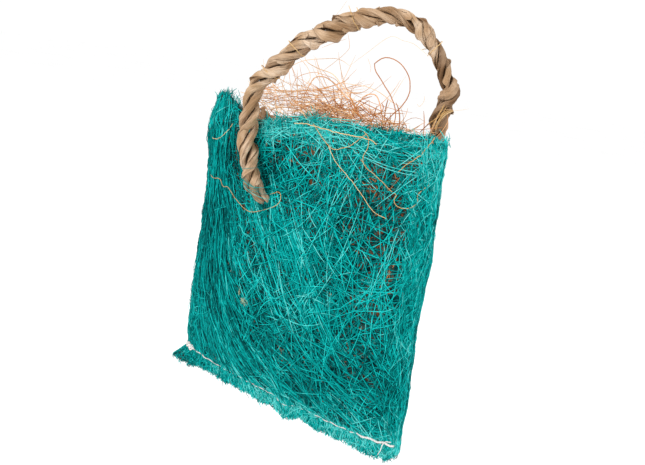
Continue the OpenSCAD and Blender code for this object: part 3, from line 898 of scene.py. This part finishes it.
def rope_middle(rings):
    """Middle line of the whole rope, how far along it each ring is, and how full the rope is there."""
    middle = even(curve(ROPE_ROUTE, 12), rings)
    along = run_along(middle)
    squeezed = 1 - 0.3 * np.exp(-((middle[:, 2] - 117) / 7) ** 2)
    lumps = 0.95 + 0.035 * np.sin(along / 7.3) + 0.06 * np.sin(along / 2.96 + 2)
    end = mix(0.45, 1, smooth(along, 0, 9))
    return middle, along, squeezed * slimmer(middle) * lumps * end


def strand_line(number, rings):
    """Middle line of one strand, and for each ring the outward and sideways directions across it."""
    middle, along, full = rope_middle(rings)
    a, b = (v[0] for v in carried_sides(middle[None]))
    turn = 2 * np.pi * (along / LAY_PITCH + number / 3)
    out = np.cos(turn)[:, None] * a + np.sin(turn)[:, None] * b
    line = middle + out * (LAY_R * full)[:, None]
    t = unit(np.gradient(line, axis=0))
    out = unit(out - (out * t).sum(-1, keepdims=True) * t)
    return line, out, np.cross(t, out), along, full, middle


def wander(rng, along, low, high):
    """A wave along the rope, its length and its start picked at random."""
    return np.sin(along / rng.uniform(low, high) + rng.uniform(0, 6))


def flat_faced(angle, along, rng):
    """Radii of a section with a few flat faces, as a folded leaf has, which drift round along the strand."""
    total = (1 / 1.12) ** 16
    for face in range(5):
        facing = 2 * np.pi * (face / 5 + rng.uniform(-0.06, 0.06) + along / rng.uniform(90, 160))
        facing = facing + 0.35 * wander(rng, along, 6, 12)
        away = rng.uniform(0.84, 0.98) + 0.09 * wander(rng, along, 5, 10)
        total = total + (np.maximum(np.cos(angle[None] - facing[:, None]), 0) / away[:, None]) ** 16
    return STRAND_D / 2 * total ** (-1 / 16)


def raise_edges(base, crease, angle, along, rng):
    """Overlapping leaf edges that stand proud of a strand, each with a painted shadow line before it."""
    for edge in range(3):
        drift = 2 * np.pi * (edge / 3 - along / rng.uniform(38, 70) + rng.random())
        drift = drift + 0.5 * wander(rng, along, 9, 16)
        past = np.mod(angle[None] - drift[:, None], 2 * np.pi)
        high = rng.uniform(0.6, 1.0) * (0.7 + 0.3 * wander(rng, along, 6, 12))[:, None]
        base = base + high * np.exp(-past / 0.8) - 0.3 * high
        crease = np.maximum(crease, np.exp(-((2 * np.pi - past) / 0.17) ** 2))
    return base, crease


def press_folds(base, crease, angle, along, rng):
    """Fine creases along a strand, darkened with painted shade."""
    for _ in range(6):
        drift = 2 * np.pi * (rng.random() - along / rng.uniform(60, 150))
        drift = drift + 0.35 * wander(rng, along, 5, 11)
        gap = np.mod(angle[None] - drift[:, None] + np.pi, 2 * np.pi) - np.pi
        deep = (0.2 * (0.5 + 0.5 * wander(rng, along, 4, 9)))[:, None]
        base = base - deep * np.exp(-(gap / 0.15) ** 2)
        crease = np.maximum(crease, 1.9 * deep * np.exp(-(gap / 0.1) ** 2))
    return base, crease


def strand_surface(number, rng, sides, rings):
    """One strand as a folded leaf: its points, how much painted crease shade each takes, and where each lies
    in the grain.
    """
    line, out, beside, along, full, middle = strand_line(number, rings)
    angle = 2 * np.pi * np.arange(sides) / sides
    base, crease = flat_faced(angle, along, rng), np.zeros((rings, sides))
    base, crease = raise_edges(base, crease, angle, along, rng)
    base, crease = press_folds(base, crease, angle, along, rng)
    base = base * full[:, None]
    ring = np.cos(angle)[None, :, None] * out[:, None] + np.sin(angle)[None, :, None] * beside[:, None]
    points = line[:, None] + base[..., None] * ring
    # The side of each strand that faces the rope's middle, where the strands press together, gets painted
    # shade.
    crease = np.clip(crease * 0.75 + 0.6 * smooth(-np.cos(angle), 0.2, 0.9)[None], 0, 1)
    grain = np.broadcast_arrays(3 * np.cos(angle)[None], 3 * np.sin(angle)[None], along[:, None])
    return points, crease, np.stack(grain, -1) + number * 40, middle


def strip_grain(across, beside, along):
    """Where each point of a flat strip lies in the grain of its leaf."""
    return np.stack(np.broadcast_arrays(across[None], float(beside), along[:, None]), -1).reshape(-1, 3)


def leaf_flap(number, start, length, facing, width, lift, rng):
    """A loose leaf edge: a strip that hugs a strand along one side and stands off it along the other."""
    line, out, beside, along, full, _ = strand_line(number, 900)
    rings, columns = 36, 11
    k = np.linspace(0, 1, rings)
    at = np.clip(np.searchsorted(along, start + length * k), 0, len(along) - 1)
    v = np.linspace(0, 1, columns)
    taper = (np.sin(np.pi * np.clip(k, 0.02, 0.98)) ** 0.35) * (1 + 0.12 * np.sin(k * 13 + rng.uniform(0, 6)))
    hugging = facing + 0.5 * (k - 0.5) + 0.12 * np.sin(k * 9 + rng.uniform(0, 6))
    r = STRAND_D / 2 * full[at] + 0.45
    hug = np.minimum(v, 0.5)[None] * (width * taper)[:, None] / r[:, None] + hugging[:, None]
    off = np.maximum(v - 0.5, 0)[None] * (width * taper)[:, None]
    o, b = out[at][:, None], beside[at][:, None]
    radial = np.cos(hug)[..., None] * o + np.sin(hug)[..., None] * b
    tangent = -np.sin(hug)[..., None] * o + np.cos(hug)[..., None] * b
    ripple = 0.25 * np.sin(k * 17 + rng.uniform(0, 6))[:, None] * v[None]
    outer = (line[at][:, None] + radial * (r[:, None] + lift * off / width + ripple)[..., None]
             + tangent * off[..., None])
    inner = outer - radial * mix(0.55, 0.25, v)[None, :, None]
    points, faces = closed_sheet(outer, inner)
    grain = strip_grain(v * 7, start, start + length * k)
    # Both long edges of the flap are darker, in the crease colour.
    darker_edges = np.broadcast_to(0.35 * np.abs(2 * v - 1) ** 8, (rings, columns)).ravel()
    return points, faces, np.concatenate([grain, grain + 3]), np.concatenate([darker_edges, darker_edges])


def make_flaps(name, body, places, seed):
    """Loose leaf edges along part of the rope, as one piece. places are (strand, start, facing) of each."""
    rng = np.random.default_rng(seed)
    points, faces, grain, crease, tone, first = [], [], [], [], [], 0
    for number, start, facing in places:
        p, f, g, c = leaf_flap(number, start, rng.uniform(13, 24), facing, rng.uniform(4.6, 6.8),
                               rng.uniform(0.3, 1.6), rng)
        faces += [[v + first for v in face] for face in f]
        points.append(p)
        grain.append(g)
        crease.append(c)
        tone.append(np.full(len(p), rng.uniform(0.42, 0.62)))
        first += len(p)
    make_piece(name, np.concatenate(points), faces, leaf, body, tone=np.concatenate(tone),
               grain=np.concatenate(grain), crease=np.concatenate(crease))


def hinge_line():
    """The middle of the line between the two bends over the lips, and its direction."""
    front, back = np.array(FRONT_BEND), np.array(BACK_BEND)
    return (front + back) / 2, unit(back - front)


def make_rope():
    """The three strands, each one piece from end to end, running over both lips."""
    sides, rings = 40, 330
    for number in (1, 2, 3):
        rng = np.random.default_rng(30 + number)
        points, crease, grain, middle = strand_surface(number, rng, sides, rings)
        # The strands are darker along the rope's back part, as painted shade.
        tone = 0.5 + 0.12 * np.sin(number * 2.1) - 0.29 * smooth(middle[:, 0], 50, 66)
        strand = make_piece(f"rope_strand_{number}", points.reshape(-1, 3), tube_faces(1, rings, sides), leaf,
                            None, np.repeat(tone, sides), grain.reshape(-1, 3), crease.ravel())
        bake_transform(strand)
        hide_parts(f"handle_strand_{number}", f"front_leg_strand_{number}",
                    f"back_leg_strand_{number}")
        if number == 1:
            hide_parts("front_rope_bend", "back_rope_bend")


def handle_middle():
    return even(curve(HANDLE_ROUTE, 12), 200)


def winding(k):
    """Middle of the handle, the way out of it and the way along it, for a strip wound round its back end."""
    turns = 1.35
    middle = handle_middle()
    want = mix(0.85, 0.965, k) * (len(middle) - 1)
    at = np.clip(want.astype(int), 0, len(middle) - 2)
    m = middle[at] + (middle[at + 1] - middle[at]) * (want - at)[:, None]
    t = unit(middle[at + 1] - middle[at])
    hinge = hinge_line()[1]
    n = unit(np.cross([-hinge[1], hinge[0], 0], t))
    a = 0.6 + 2 * np.pi * turns * k
    return m, np.cos(a)[:, None] * n + np.sin(a)[:, None] * np.cross(t, n), t


def make_wrap_strip():
    """The flat leaf strip wound round the handle near its back end."""
    rng = np.random.default_rng(41)
    rings, sides, width = 90, 9, 7.6
    k = np.linspace(0, 1, rings)
    m, out, t = winding(k)
    v = np.linspace(-0.5, 0.5, sides)
    wide = width * (1 - 0.75 * np.abs(2 * k - 1) ** 5) * (1 + 0.08 * np.sin(9 * k))
    folds = 0.35 * np.sin(v * 15 + 4 * np.sin(6 * k)[:, None]) + rng.normal(0, 0.06, (rings, sides))
    snug = (LAY_R + STRAND_D / 2) * slimmer(m)
    lift = (snug + 0.2 + 1.3 * k)[:, None] + folds - 1.2 * np.abs(2 * v[None]) ** 3
    outer = m[:, None] + out[:, None] * lift[..., None] + t[:, None] * (v[None] * wide[:, None])[..., None]
    inner = outer - out[:, None] * 0.5
    points, faces = closed_sheet(outer, inner)
    grain = strip_grain(v * 9, 0, k * 60)
    edge = np.broadcast_to(np.abs(2 * v) ** 6 * 0.5, (rings, sides)).ravel()
    strip = make_piece("rope_wrap_strip", points, faces, leaf, "handle", np.full(len(points), 0.42),
                       np.concatenate([grain, grain + 5]), np.concatenate([edge, edge]))
    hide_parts("handle_wrap_strip")


def make_tie_fibres():
    """Sisal fibres wound round the handle, with their loose ends."""
    rng = np.random.default_rng(42)
    middle = handle_middle()
    rings = 60
    paths = []
    for place_on in TIE_PLACES:
        index = int(place_on * (len(middle) - 1))
        t = unit(middle[min(index + 1, len(middle) - 1)] - middle[index - 1])
        n = unit(np.cross(t, [0, 1, 0.2]))
        w = np.cross(t, n)
        k = np.linspace(0, 1, rings)
        a = rng.uniform(0, 6) + 2 * np.pi * 1.15 * k
        snug = (LAY_R + STRAND_D / 2) * slimmer(middle[index][None])[0]
        away = snug + 0.2 + 2.6 * np.abs(2 * k - 1) ** 7
        climb = mix(-2.5, 2.5, k) + rng.normal(0, 0.08, rings).cumsum()
        paths.append(middle[index] + away[:, None] * (np.cos(a)[:, None] * n + np.sin(a)[:, None] * w)
                     + climb[:, None] * t)
    ties = make_tubes("rope_tie_fibres", np.stack(paths), np.full((len(paths), rings), 0.2), 6,
                      np.array([0.4, 0.6, 0.5, 0.7]), straw_fibre, "handle")
    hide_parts("handle_tie_fibres")


def make_frayed_ends():
    """Thin torn ends of leaf at the foot of the handle's back part."""
    rng = np.random.default_rng(45)
    rings = 30
    paths = []
    for route in FRAYED_ROUTES:
        for _ in range(3):
            line = even(curve(route, 8), rings)
            paths.append(line + rng.normal(0, [0.7, 0.3, 0.7]) + rng.normal(0, 0.04, (rings, 3)).cumsum(0))
    make_tubes("rope_frayed_ends", np.stack(paths), tapered(rng.uniform(0.12, 0.24, len(paths)), rings), 5,
               rng.uniform(0.3, 0.9, len(paths)), straw_fibre, "handle")


def scattered_flaps(low, high, count, seed):
    """Strand, start and facing of flaps spread evenly along part of the rope."""
    rng = np.random.default_rng(seed)
    return [(int(rng.integers(1, 4)), low + (high - low) * (i + rng.random()) / count, rng.uniform(-1.4, 0.9))
            for i in range(count)]


def make_leaf_edges():
    """Loose leaf edges on the handle, and on both legs above the places where they go through the mats."""
    middle, along, _ = rope_middle(900)
    front, back = (along[np.linalg.norm(middle - bend, axis=1).argmin()] for bend in (FRONT_BEND, BACK_BEND))
    make_flaps("rope_leaf_edges_handle", "handle", scattered_flaps(front + 12, back - 36, 26, 44), 43)
    make_flaps("rope_leaf_edges_front", "bag", scattered_flaps(front - 46, front - 30, 4, 45), 46)
    make_flaps("rope_leaf_edges_back", "bag", scattered_flaps(back + 12, back + 34, 3, 47), 48)


make_rope()
make_leaf_edges()
make_wrap_strip()
make_tie_fibres()
make_frayed_ends()


# ---------------------------------------------------------------- seam and loose strands

def seam_line(side, rings):
    """The line of a seam's thread over one face, dipping into the mat at every hole."""
    k = np.linspace(0, 3 * STITCHES, rings)
    rough = 0.5 * np.sin(np.radians(83 * np.round(k)))
    z = np.convolve(np.pad(rough, 4, mode="edge"), np.ones(9) / 9, "valid")
    x = mix(-0.97, 0.97, k / (3 * STITCHES)) * BAG_W / 2
    lift = 0.7 * np.abs(np.sin(np.pi * k / 3)) ** 0.6 - 0.32 + 0.3 * np.sin(k / 4.1) + 0.6 * thick_ends(k)
    return skin(side, x, z, lift), k


def thick_ends(k):
    """The thread is doubled at the start knot and where the sewing ends at the right."""
    return np.maximum(1 - smooth(k, 0, 4), smooth(k, 3 * STITCHES - 13, 3 * STITCHES - 9))


def make_thread(name, side, node):
    rings = 620
    line, k = seam_line(side, rings)
    a, b = (v[0] for v in carried_sides(line[None]))
    turn = 2 * np.pi * k * 1.1
    ply = THREAD_D * mix(0.15, 0.29, thick_ends(k))
    plies = [line + ply[:, None] * (np.cos(turn + p)[:, None] * a + np.sin(turn + p)[:, None] * b)
             for p in (0, np.pi)]
    thread = make_tubes(name, np.stack(plies), np.stack([ply * 1.2] * 2), 7,
                        np.array([0.55, 0.75]), cotton)
    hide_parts(node)


def make_thread_tail():
    rings = 50
    route = [[81, -2.6, -3.5], [77.5, -2.8, -4.6], [76, -3.2, -7.5], [75.6, -3.4, -10.5], [74, -3.2, -14]]
    tail = even(curve(route, 8), rings)
    radius = mix(0.3, 0.14, np.linspace(0, 1, rings) ** 2)
    make_tubes("seam_thread_tail", tail[None], radius[None], 7, np.array([0.7]), cotton)


def make_knot():
    rng = np.random.default_rng(51)
    rings = 60
    k = np.linspace(0, 2 * np.pi, rings)
    loops = []
    for turn in range(4):
        lean = rng.uniform(-0.5, 0.5)
        r = rng.uniform(1.4, 2.2)
        centre = np.array([-BAG_W / 2 + 2.5 + turn * 0.9, -HEM_T - 1.1, SEAM_RISE - 0.5 * turn])
        loops.append(centre + np.stack([r * np.cos(k) + 0.8 * lean * np.sin(k), 0.7 * np.sin(2 * k + lean),
                                        (r * 0.8) * np.sin(k)], -1))
    knot = make_tubes("seam_knot", np.stack(loops), np.full((4, rings), 0.5), 7, rng.uniform(0.5, 0.8, 4),
                      cotton)
    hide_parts("seam_start_knot")


def make_straws():
    rng = np.random.default_rng(61)
    rings = 90
    paths = []
    for route in STRAW_ROUTES:
        places = [point if len(point) == 3 else [*point, STRAW_LIFT] for point in route]
        line = even(curve(places, 10), rings)
        wobble = np.convolve(rng.normal(0, 0.8, rings + 4), np.ones(5) / 5, "valid")
        paths.append(skin(FRONT, line[:, 0], line[:, 1] + wobble * 0.6, line[:, 2] - 0.1 + wobble * 0.4))
    thick = np.array([0.18, 0.17, 0.19, 0.18, 0.19, 0.2, 0.24])
    straws = make_tubes("loose_straws", np.stack(paths), np.repeat(thick[:, None], rings, 1), 6,
                        rng.uniform(0.3, 0.8, len(paths)), straw_fibre)
    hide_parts("loose_straw_strands")


def make_fluff():
    """Two small curls of undyed fibre caught on the front mat."""
    rng = np.random.default_rng(62)
    count, rings = 10, 12
    at = np.where((rng.random(count) < 0.5)[:, None], [[-27.5, 60]], [[-23.5, 56]])
    at = at + rng.normal(0, 0.9, (count, 2))
    k = np.linspace(-1, 1, rings)
    turn = rng.uniform(0, np.pi, (count, 1)) + rng.normal(0, 1, (count, 1)) * k
    x = at[:, :1] + 1.6 * k * np.cos(turn)
    z = at[:, 1:] + 2.4 * k * np.sin(turn)
    paths = skin(FRONT, x, z, 0.5 + 0.5 * rng.random((count, 1)) + 0 * x)
    make_tubes("straw_fluff", paths, tapered(np.full(count, 0.13), rings), 4, rng.uniform(0, 0.7, count),
               pale_fibre)


make_thread("seam_front_thread", FRONT, "seam_needle_thread")
make_thread("seam_back_thread", BACK, "seam_bobbin_thread")
make_thread_tail()
make_knot()
make_straws()
make_fluff()


# ---------------------------------------------------------------- camera, floor and light

def make_camera():
    """A camera a little above the bag and to its right, rolled so that the bag hangs askew in the view."""
    yaw, pitch, roll = math.radians(34.47), math.radians(11.22), math.radians(8.37)
    forward = Vector((-math.sin(yaw) * math.cos(pitch), math.cos(yaw) * math.cos(pitch), -math.sin(pitch)))
    level = Vector((math.cos(yaw), math.sin(yaw), 0))
    above = level.cross(forward)
    right = level * math.cos(roll) + above * math.sin(roll)
    top = -level * math.sin(roll) + above * math.cos(roll)
    data = bpy.data.cameras.new("camera")
    data.lens, data.sensor_width = 49.08, 36
    camera = bpy.data.objects.new("camera", data)
    turn = Matrix((right, top, -forward)).transposed().to_4x4()
    camera.matrix_world = Matrix.Translation((0.2655, -0.4295, -0.0217)) @ turn
    data.clip_start, data.clip_end = 0.01, 50
    bpy.context.scene.collection.objects.link(camera)
    bpy.context.scene.camera = camera


def make_floor():
    below = 0.36
    half = 12
    mesh = bpy.data.meshes.new("floor")
    corners = [(-half, -half), (half, -half), (half, half), (-half, half)]
    mesh.from_pydata([(x, y, -below) for x, y in corners], [], [(0, 1, 2, 3)])
    n = Nodes("pale floor", 0.9)
    mesh.materials.append(n.finish(n.ramp(n.noise(3, 2), [(0.3, (252, 252, 252)), (0.7, (255, 255, 255))])))
    floor = bpy.data.objects.new("floor", mesh)
    bpy.context.scene.collection.objects.link(floor)


def make_light(name, at, size, power):
    data = bpy.data.lights.new(name, "AREA")
    data.shape, data.size, data.energy = "DISK", size, power
    light = bpy.data.objects.new(name, data)
    light.location = at
    aim = Vector((0, 0, -0.12)) - Vector(at)
    light.rotation_mode = "QUATERNION"
    light.rotation_quaternion = aim.to_track_quat("-Z", "Y")
    bpy.context.scene.collection.objects.link(light)


def make_studio():
    world = bpy.data.worlds.new("studio")
    world.use_nodes = True
    world.node_tree.nodes["Background"].inputs["Color"].default_value = (1, 1, 1, 1)
    world.node_tree.nodes["Background"].inputs["Strength"].default_value = 1.02
    bpy.context.scene.world = world
    bpy.context.scene.view_settings.view_transform = "Standard"
    make_light("key", (-0.35, -1.0, 1.0), 0.45, 13)
    make_light("fill", (1.3, -0.5, 0.3), 0.9, 3)
    make_light("rim", (0.3, 1.2, 0.8), 0.8, 4)


make_camera()
make_floor()
make_studio()
